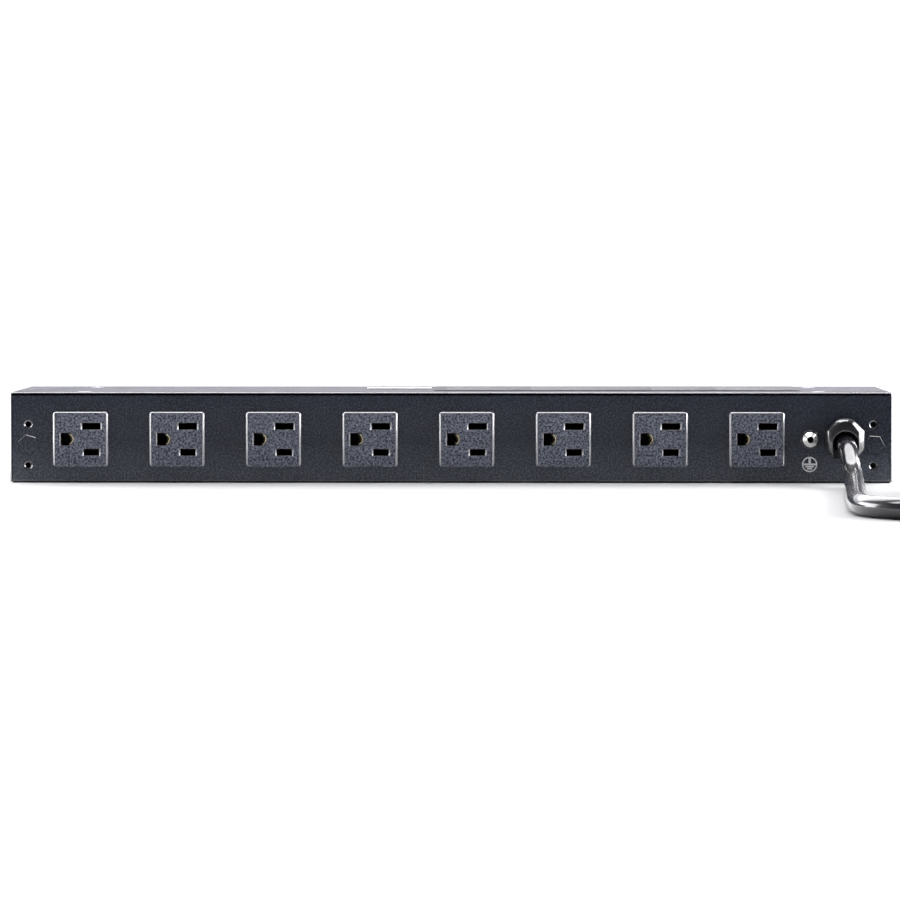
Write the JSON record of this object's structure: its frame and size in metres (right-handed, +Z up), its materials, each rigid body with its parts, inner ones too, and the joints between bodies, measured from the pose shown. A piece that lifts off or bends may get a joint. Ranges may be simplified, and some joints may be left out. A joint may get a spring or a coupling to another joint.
{
  "type": "rack power strip",
  "caption": "Slim 1U rack power strip: black steel casing with grounded outlets, a grounding post, a hooded strain relief, a long cord and a rocker switch with reset breaker.",
  "frame": {"origin": "on the surface the casing stands on, under the middle of the casing", "axes": "+X along the casing towards the end with the cord, +Y from the rear (outlet) panel to the front (switch) panel, +Z up"},
  "size_m": [0.5486, 0.3962, 0.0446],
  "materials": {
    "casing_paint": "black powder coat, fine texture, semi-gloss",
    "outlet_plastic": "black moulded plastic, spark-eroded texture",
    "gloss_plastic": "black moulded nylon, glossy",
    "cord_jacket": "black vinyl jacket, glossy",
    "brass": "stamped strip",
    "nickel": "bright nickel plate",
    "screw_steel": "zinc plate",
    "switch_plastic": "black moulded plastic, satin",
    "reset_plastic": "red moulded plastic",
    "label_white": "blank white film label",
    "wire_black": "stranded copper wire in black insulation",
    "wire_white": "stranded copper wire in white insulation",
    "wire_green": "stranded copper wire in green insulation",
    "fibre": "vulcanised fibre sheet"
  },
  "bodies": {
    "casing": {"base_chassis": "casing_paint", "top_cover": "casing_paint", "clinch_standoff_left": "casing_paint", "clinch_standoff_right": "casing_paint", "rating_label": "casing_paint", "outlet_1": "outlet_plastic", "outlet_2": "outlet_plastic", "outlet_3": "outlet_plastic", "outlet_4": "outlet_plastic", "outlet_5": "outlet_plastic", "outlet_6": "outlet_plastic", "outlet_7": "outlet_plastic", "outlet_8": "outlet_plastic", "front_outlet_1": "outlet_plastic", "front_outlet_2": "outlet_plastic", "bus_neutral": "brass", "bus_ground": "brass", "bus_line": "brass", "front_bus_neutral": "brass", "front_bus_ground": "brass", "front_bus_line": "brass", "switch_tab_feed": "brass", "switch_tab_load": "brass", "plug_blade_line": "brass", "plug_blade_neutral": "brass", "plug_ground_pin": "brass", "ground_washer": "nickel", "ground_post": "nickel", "ground_nut": "nickel", "breaker_collar": "nickel", "cover_screw_left_rear": "screw_steel", "cover_screw_left_front": "screw_steel", "cover_screw_right_rear": "screw_steel", "cover_screw_right_front": "screw_steel", "side_screw_left_rear": "screw_steel", "side_screw_left_front": "screw_steel", "side_screw_right_rear": "screw_steel", "side_screw_right_front": "screw_steel", "strain_relief": "gloss_plastic", "power_cord": "cord_jacket", "cord_hank": "cord_jacket", "cord_tail": "cord_jacket", "plug_body": "cord_jacket", "rocker_housing": "switch_plastic", "breaker_body": "switch_plastic", "blank_label": "label_white", "wire_line_in": "wire_black", "wire_line_switched": "wire_black", "wire_line_out": "wire_black", "wire_neutral": "wire_white", "jumper_neutral": "wire_white", "jumper_line": "wire_white", "wire_ground": "wire_green", "jumper_ground": "wire_green", "insulation_sheet": "fibre"},
    "rocker_body": {"rocker": "switch_plastic"},
    "contact_body": {"contact_lever": "brass"},
    "reset_body": {"breaker_button": "reset_plastic"}
  },
  "joints": [
    {"name": "rocker_hinge", "type": "hinge", "parent": "casing", "child": "rocker_body", "pos_m": [0.16, 0.042, 0.022], "axis": [0, 0, -1], "range_deg": [0, 22]},
    {"name": "contact_hinge", "type": "hinge", "parent": "casing", "child": "contact_body", "pos_m": [0.16, 0.0325, 0.022], "axis": [0, 0, -1], "range_deg": [-13.2, 0]},
    {"name": "breaker_reset", "type": "slide", "parent": "casing", "child": "reset_body", "axis": [0, 1, 0], "range_m": [0, 0.003]}
  ],
  "couplings": [
    {"joint": "contact_hinge", "follows": "rocker_hinge", "ratio": -0.6}
  ]
}
